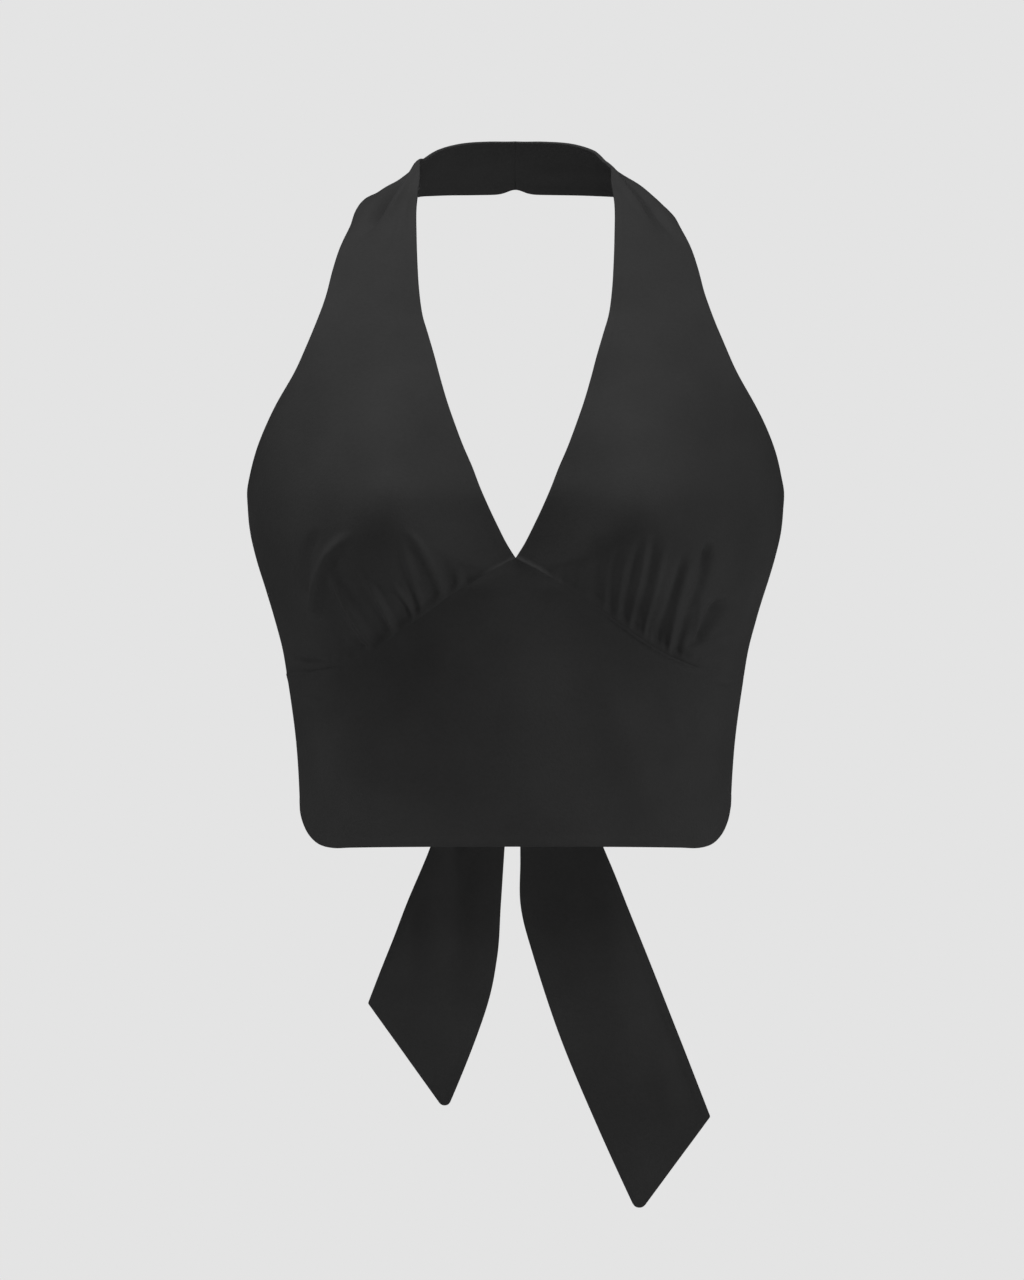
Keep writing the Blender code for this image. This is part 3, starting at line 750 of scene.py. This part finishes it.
# Pleats of each tail below the knot: fraction across at the knot and where the pleat ends, how far
# down it reaches, depth and half width.
TAIL_FOLDS = {
    1: table(
        "top_u low_u reach depth half_width",
        (0.16, 0.14, 70, 2.6, 0.085),
        (0.34, 0.32, 95, -2.4, 0.090),
        (0.52, 0.52, 120, 2.8, 0.095),
        (0.70, 0.74, 85, -2.2, 0.085),
        (0.87, 0.90, 60, 2.2, 0.075),
    ),
    -1: table(
        "top_u low_u reach depth half_width",
        (0.14, 0.12, 60, 2.2, 0.080),
        (0.31, 0.30, 80, -2.4, 0.090),
        (0.48, 0.50, 100, 2.8, 0.090),
        (0.66, 0.70, 90, -2.4, 0.085),
        (0.84, 0.88, 70, 2.4, 0.080),
    ),
}
# Long soft falls of each tail, as creases.
TAIL_FALLS = {
    1: table(
        "x0 z0 x1 z1 depth half_width",
        (44, -330, 74, -610, -7.0, 20.0),
        (84, -520, 100, -590, -2.0, 9.0),
    ),
    -1: table(
        "x0 z0 x1 z1 depth half_width",
        (30, -330, 35, -550, 3.6, 12.0),
        (60, -440, 66, -500, 1.5, 8.0),
    ),
}
TAIL_CORNERS = {1: (4.6, 1.6), -1: (3.9, 1.2)}  # radius at the inner and the outer corner
TAIL_DOWN, TAIL_ACROSS = 150, 56
TAIL_ROW_HEIGHT = 33.0  # of most rows of the tails' table
END_RINGS = 1.4  # the rings beside the slanted end are this much wider apart
CORNER_BACK = 20  # rings up from the end, where an edge's direction is taken
CORNER_REACH = 9  # radii in from the edges, within which a round corner's shift dies out
TAIL_SLACK_FROM = 20.0, 90.0  # distances below the knot between which the uneven ease comes in


def round_corner(flat, corner, other, back, radius):
    """Draws a sharp corner of a flat outline in to a circle's arc. Points beside the corner move along
    its bisector by the gap between the arc and the corner, and those further in move less."""
    one, two = unit(other - corner), unit(back - corner)
    inward = unit(one + two)
    half = math.acos(np.clip(one @ two, -1, 1)) / 2
    wide = (flat - corner) @ np.array([-inward[1], inward[0]])
    deep = (flat - corner) @ inward
    w = np.minimum(np.abs(wide), radius * math.cos(half))
    gap = radius / math.sin(half) - np.sqrt(radius**2 - w**2) - w / math.tan(half)
    from_edge = deep - np.abs(wide) / math.tan(half)
    return flat + inward * (gap * (1 - ease(from_edge, 0, CORNER_REACH * radius)))[..., None]


def tail(side, name):
    """Tail of the tie: a flat strip between its table's edges, pleated at the knot by bells that fade
    on the way down, and falling open to a slanted end with round corners."""
    rows = TAILS[side]
    place = np.arange(len(rows["inner_x"]), dtype=float)
    ring = np.array(EDGE_STEPS) / TAIL_ROW_HEIGHT
    end_ring = place[-1] - END_RINGS * ring[::-1]
    at = np.concatenate([ring, np.linspace(ring[-1], end_ring[0], TAIL_DOWN)[1:-1], end_ring])
    inner = np.stack([curve(place, rows["inner_" + axis], at) for axis in "xz"], axis=-1)
    outer = np.stack([curve(place, rows["outer_" + axis], at) for axis in "xz"], axis=-1)
    u = edge_spaced(np.linalg.norm(outer - inner, axis=-1), TAIL_ACROSS)
    flat = inner[:, None] + (outer - inner)[:, None] * u[..., None]
    last = np.stack([inner[-1], outer[-1]])
    before = np.stack([inner[-CORNER_BACK], outer[-CORNER_BACK]])
    for corner, other, back, radius in zip(last, last[::-1], before, TAIL_CORNERS[side]):
        flat = round_corner(flat, corner, other, back, radius)
    fallen = TAIL_TOP_Z - flat[..., 1]
    x, z = flat[..., 0], flat[..., 1]
    fall = slack(x, z, seed=31 + side, size=70.0, amount=1.4)
    y = TAIL_Y + fall * ease(fallen, *TAIL_SLACK_FROM)
    for top_u, low_u, reach, depth, half_width in zip(*TAIL_FOLDS[side].values()):
        t = fallen / reach
        line = top_u + (low_u - top_u) * np.clip(t, 0, 1)
        y -= depth * (1 - ease(t, 0.1, 1.0)) * bell(u - line, half_width)
    y -= creased(x, z, TAIL_FALLS[side])
    points = np.stack([x * side, y, z], axis=-1)
    return cloth_wall(name, points, {}, flip=side < 0)


KNOT_SQUARED = 2.6  # power of the knot's squared ball
KNOT_RINGS, KNOT_AROUND = 150, 220
BAND_SLOPE, BAND_HALF, BAND_LIFT = 0.62, 9.5, 1.3  # the turn that lies over the other
BAND_EDGE = 1.2, 1.0  # how far inside and outside its half width its edge slopes down
BAND_PLEAT_PITCH, PLEAT_DEPTH = 5.2, 0.55
PLEAT_SWAY, PLEAT_SWAY_LENGTH = 0.4, 5.0  # its pleats wander a little along it, in radians and mm
UNDER_PLEATS = 15.0  # round the turn that lies under
UNDER_PLEATS_MEET = 6.0  # past the knot's middle, where they would meet
GROOVE_DEPTH, GROOVE_WIDTH = 1.5, 1.5  # between the two turns
KNOT_SINK = 0.9  # how far the ball is drawn in first, to make room for the turns
KNOT_BACK = -6.0, 4.0  # between these places from front to back the relief deepens
FRONT_RELIEF = 0.35  # share of the relief that is left towards the body


def knot(name):
    """Knot: a squared ball whose back carries one turn slanting over the other, both pleated. The
    pleats are cosines, along the upper turn's slant and round the lower turn's middle."""
    polar = np.linspace(0.0, math.pi, KNOT_RINGS + 2)[1:-1, None]
    turn = np.linspace(0, 2 * math.pi, KNOT_AROUND, endpoint=False)[None, :]
    ball = np.cos(polar) + 0 * turn, np.sin(polar) * np.cos(turn), np.sin(polar) * np.sin(turn)
    ball = np.stack(ball, axis=-1)
    ball = ball / (np.abs(ball) ** KNOT_SQUARED).sum(axis=-1, keepdims=True) ** (1 / KNOT_SQUARED)
    points = ball * np.array(KNOT_HALF)
    x, y, z = np.moveaxis(points, -1, 0)
    lean = (z - BAND_SLOPE * x) / math.hypot(1, BAND_SLOPE)
    over = 1 - ease(np.abs(lean), BAND_HALF - BAND_EDGE[0], BAND_HALF + BAND_EDGE[1])
    sway = PLEAT_SWAY * np.sin(x / PLEAT_SWAY_LENGTH)
    pleats = np.cos(lean * 2 * math.pi / BAND_PLEAT_PITCH + sway) * over
    spokes = np.cos(np.arctan2(z, np.abs(x) + UNDER_PLEATS_MEET) * UNDER_PLEATS) * (1 - over)
    groove = GROOVE_DEPTH * bell(np.abs(lean) - BAND_HALF, GROOVE_WIDTH)
    lift = BAND_LIFT * over + PLEAT_DEPTH * (pleats + spokes) - groove
    share = FRONT_RELIEF + (1 - FRONT_RELIEF) * ease(y, *KNOT_BACK)
    points = points + unit(ball) * (lift * share - KNOT_SINK)[..., None]
    points = points + np.array(KNOT_AT)
    index = np.arange(KNOT_RINGS * KNOT_AROUND).reshape(KNOT_RINGS, KNOT_AROUND)
    caps = []
    for row, flip in ((index[0], False), (index[-1], True)):
        half = len(row) // 2
        a, b = row[:half], row[half:][::-1]
        strip = np.stack([a[:-1], a[1:], b[1:], b[:-1]], axis=1)
        caps.append(strip if flip else strip[:, ::-1])
    uv = np.stack([points[..., 0], points[..., 2]], axis=-1).reshape(-1, 2)
    round_again = np.concatenate([index, index[:, :1]], axis=1)
    faces = np.concatenate([quads(round_again)[:, ::-1], *caps])
    return mesh_object(name, points.reshape(-1, 3), faces, uv)


def linear(hex_colour):
    """Linear colour with alpha from an sRGB hex value."""
    parts = [int(hex_colour[i : i + 2], 16) / 255 for i in (1, 3, 5)]
    return tuple(p / 12.92 if p <= 0.04045 else ((p + 0.055) / 1.055) ** 2.4 for p in parts) + (1.0,)


def add_node(tree, kind, values=None, links=None, **settings):
    """Adds a node, sets its properties and input values, and links outputs of other nodes to it."""
    made = tree.nodes.new(kind)
    for name, value in settings.items():
        setattr(made, name, value)
    for name, value in (values or {}).items():
        made.inputs[name].default_value = value
    for name, source in (links or {}).items():
        tree.links.new(source, made.inputs[name])
    return made


# Sizes of the cloth's grain. The real pebble is about 0.6 mm; it is drawn at 1.3 mm so that it shows.
PEBBLE, YARN, PATCH = 1.3, 2.2, 45.0
PEBBLE_RELIEF, YARN_RELIEF = 0.18, 0.25


def stretch_crepe(name, dark, light):
    """Matt black polyester crepe: a fine pebbled grain of high-twist yarn, which scatters light so
    evenly that only the large folds shade, and has next to no shine."""
    material = bpy.data.materials.new(name)
    material.use_nodes = True
    tree = material.node_tree
    shader = tree.nodes["Principled BSDF"]
    shader.inputs["Roughness"].default_value = 0.85
    shader.inputs["Specular IOR Level"].default_value = 0.08
    place = add_node(tree, "ShaderNodeTexCoord")
    at = place.outputs["Object"]
    pebble = add_node(
        tree,
        "ShaderNodeTexVoronoi",
        values={"Scale": 1 / (PEBBLE * MM), "Randomness": 1.0},
        links={"Vector": at},
        feature="SMOOTH_F1",
    )
    yarn = add_node(
        tree,
        "ShaderNodeTexNoise",
        values={"Scale": 1 / (YARN * MM), "Detail": 3.0, "Roughness": 0.6},
        links={"Vector": at},
    )
    patch = add_node(
        tree,
        "ShaderNodeTexNoise",
        values={"Scale": 1 / (PATCH * MM), "Detail": 2.0, "Roughness": 0.5},
        links={"Vector": at},
    )
    mixed = add_node(
        tree,
        "ShaderNodeMath",
        values={1: 0.5},
        links={0: yarn.outputs["Fac"], 2: patch.outputs["Fac"]},
        operation="MULTIPLY_ADD",
    )
    shade = add_node(tree, "ShaderNodeValToRGB", links={"Fac": mixed.outputs[0]})
    shade.color_ramp.elements[0].position = 0.35
    shade.color_ramp.elements[0].color = linear(dark)
    shade.color_ramp.elements[1].position = 1.0
    shade.color_ramp.elements[1].color = linear(light)
    tree.links.new(shade.outputs["Color"], shader.inputs["Base Color"])
    grain = add_node(
        tree,
        "ShaderNodeBump",
        values={"Strength": 0.35, "Distance": PEBBLE_RELIEF * MM},
        links={"Height": pebble.outputs["Distance"]},
    )
    crinkle = add_node(
        tree,
        "ShaderNodeBump",
        values={"Strength": 0.4, "Distance": YARN_RELIEF * MM},
        links={"Height": yarn.outputs["Fac"], "Normal": grain.outputs["Normal"]},
    )
    tree.links.new(crinkle.outputs["Normal"], shader.inputs["Normal"])
    return material


FLOOR_AT, FLOOR_RADIUS = (0.0, -0.07, -1.4), 1.5  # metres
ROLLER_MARK = 20.0  # width of the marks that a paint roller leaves


def pale_floor():
    """Floor of matt off-white paint, whose roller marks give it a faint unevenness: a round patch
    below the tails."""
    bpy.ops.mesh.primitive_circle_add(
        vertices=96, radius=FLOOR_RADIUS, fill_type="NGON", location=FLOOR_AT
    )
    floor = bpy.context.object
    floor.name = "floor"
    material = bpy.data.materials.new("matt_off_white_paint")
    material.use_nodes = True
    tree = material.node_tree
    shader = tree.nodes["Principled BSDF"]
    shader.inputs["Roughness"].default_value = 0.9
    place = add_node(tree, "ShaderNodeTexCoord")
    roll = add_node(
        tree,
        "ShaderNodeTexNoise",
        values={"Scale": 1 / (ROLLER_MARK * MM), "Detail": 2.0},
        links={"Vector": place.outputs["Object"]},
    )
    tint = add_node(tree, "ShaderNodeValToRGB", links={"Fac": roll.outputs["Fac"]})
    tint.color_ramp.elements[0].color = linear("#dfdfdf")
    tint.color_ramp.elements[1].color = linear("#e9e9e9")
    tree.links.new(tint.outputs["Color"], shader.inputs["Base Color"])
    floor.data.materials.append(material)


BACKDROP = "#e4e4e4"
WORLD_CAST = 0.14  # how much of the shown surroundings' light reaches the cloth
AIM = (0.0, -0.12, -0.25)  # metres, as are the lights' distance from it and their size
LIGHT_DISTANCE, LIGHT_SIZE = 2.3, 0.8
# Soft lights round the aim: azimuth to the right of the front, elevation, and power in watts.
LIGHTS = {
    "key": (0, 68, 30.6),
    "left_key": (-50, 68, 27.7),
    "left_fill": (-90, -22, 16.6),
    "front_fill": (0, 20, 16.6),
    "right_fill": (80, -22, 28.0),
    "back_fill": (180, 2, 26.0),
}


def studio():
    """Pale surroundings that light the cloth less than they show, two soft lights high in front,
    three weaker fills from the front and from low down at both sides, and one behind."""
    world = bpy.data.worlds.new("studio")
    bpy.context.scene.world = world
    world.use_nodes = True
    tree = world.node_tree
    shown = tree.nodes["Background"]
    shown.inputs["Color"].default_value = linear(BACKDROP)
    cast = add_node(
        tree,
        "ShaderNodeBackground",
        values={"Color": linear(BACKDROP), "Strength": WORLD_CAST},
    )
    ray = add_node(tree, "ShaderNodeLightPath")
    mixed = add_node(
        tree,
        "ShaderNodeMixShader",
        links={0: ray.outputs["Is Camera Ray"], 1: cast.outputs[0], 2: shown.outputs[0]},
    )
    tree.links.new(mixed.outputs[0], tree.nodes["World Output"].inputs["Surface"])
    for name, (azimuth, elevation, power) in LIGHTS.items():
        turn, rise = math.radians(azimuth), math.radians(elevation)
        level = np.array([math.sin(turn), -math.cos(turn), 0])
        away = level * math.cos(rise) + np.array([0, 0, math.sin(rise)])
        light = bpy.data.lights.new(name, "AREA")
        light.size = LIGHT_SIZE
        light.energy = power
        lamp = bpy.data.objects.new(name, light)
        lamp.location = np.array(AIM) + LIGHT_DISTANCE * away
        facing = math.atan2(-away[1], -away[0]) - math.pi / 2
        lamp.rotation_euler = (math.acos(away[2]), 0, facing)
        bpy.context.scene.collection.objects.link(lamp)


CAMERA_DISTANCE, CAMERA_Z = 3.0, -0.287
PIXEL = 0.593 * MM  # one pixel of the 1024 by 1280 frame, at the side seams
FRAME_HEIGHT = 1280 * PIXEL
CAMERA_LEFT = 3.5 * PIXEL  # how far the frame's middle is to the left of the top's
SENSOR_HEIGHT = 36.0


def camera():
    """Level camera 3 m in front of the side seams, at the height of the under-bust, with the lens
    that fits the frame's height there."""
    data = bpy.data.cameras.new("camera")
    data.sensor_fit = "VERTICAL"
    data.sensor_height = SENSOR_HEIGHT
    data.lens = SENSOR_HEIGHT * CAMERA_DISTANCE / FRAME_HEIGHT
    data.clip_end = 50
    eye = bpy.data.objects.new("camera", data)
    eye.location = (-CAMERA_LEFT, SIDE_Y * MM - CAMERA_DISTANCE, CAMERA_Z)
    eye.rotation_euler = (math.pi / 2, 0, 0)
    bpy.context.scene.collection.objects.link(eye)
    bpy.context.scene.camera = eye


# Flat cut of each piece: width, length and area, in metres and square metres.
CUTS = {
    "cup": (0.275, 0.440, 0.0500),
    "midriff": (0.345, 0.167, 0.0455),
    "wing": (0.190, 0.177, 0.0180),
    "tail_left": (0.125, 0.290, 0.0175),
    "tail_right": (0.110, 0.225, 0.0120),
}


def made_of(piece, node, crepe):
    """Gives a piece its cloth, hangs it from the root body and hides the solid that it stands for."""
    piece.data.materials.append(crepe)
    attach(piece, "root")
    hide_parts(node)


def main():
    """Builds the pieces, gives each its cloth in place of the solid that it stands for, and sets the
    scene.
    """
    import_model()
    bpy.context.scene.view_settings.view_transform = "Standard"
    crepe = stretch_crepe("matt_black_stretch_crepe", "#262626", "#2c2c2c")
    pieces = []
    for side, word in ((1, "left"), (-1, "right")):
        pieces += [
            (cup(side, "bust_cup_" + word), "cup_" + word, CUTS["cup"], "gathered"),
            (wing(side, "back_wing_" + word), "wing_" + word, CUTS["wing"], "gathered"),
            (tail(side, "tie_end_" + word), "tie_tail_" + word, CUTS["tail_" + word], "hung"),
        ]
    pieces.append((midriff("midriff_panel"), "midriff_front", CUTS["midriff"], "stretched"))
    for piece, node, (width, length, area), held in pieces:
        made_of(piece, node, crepe)
    made_of(knot("knot"), "tie_knot", crepe)
    pale_floor()
    studio()
    camera()


main()
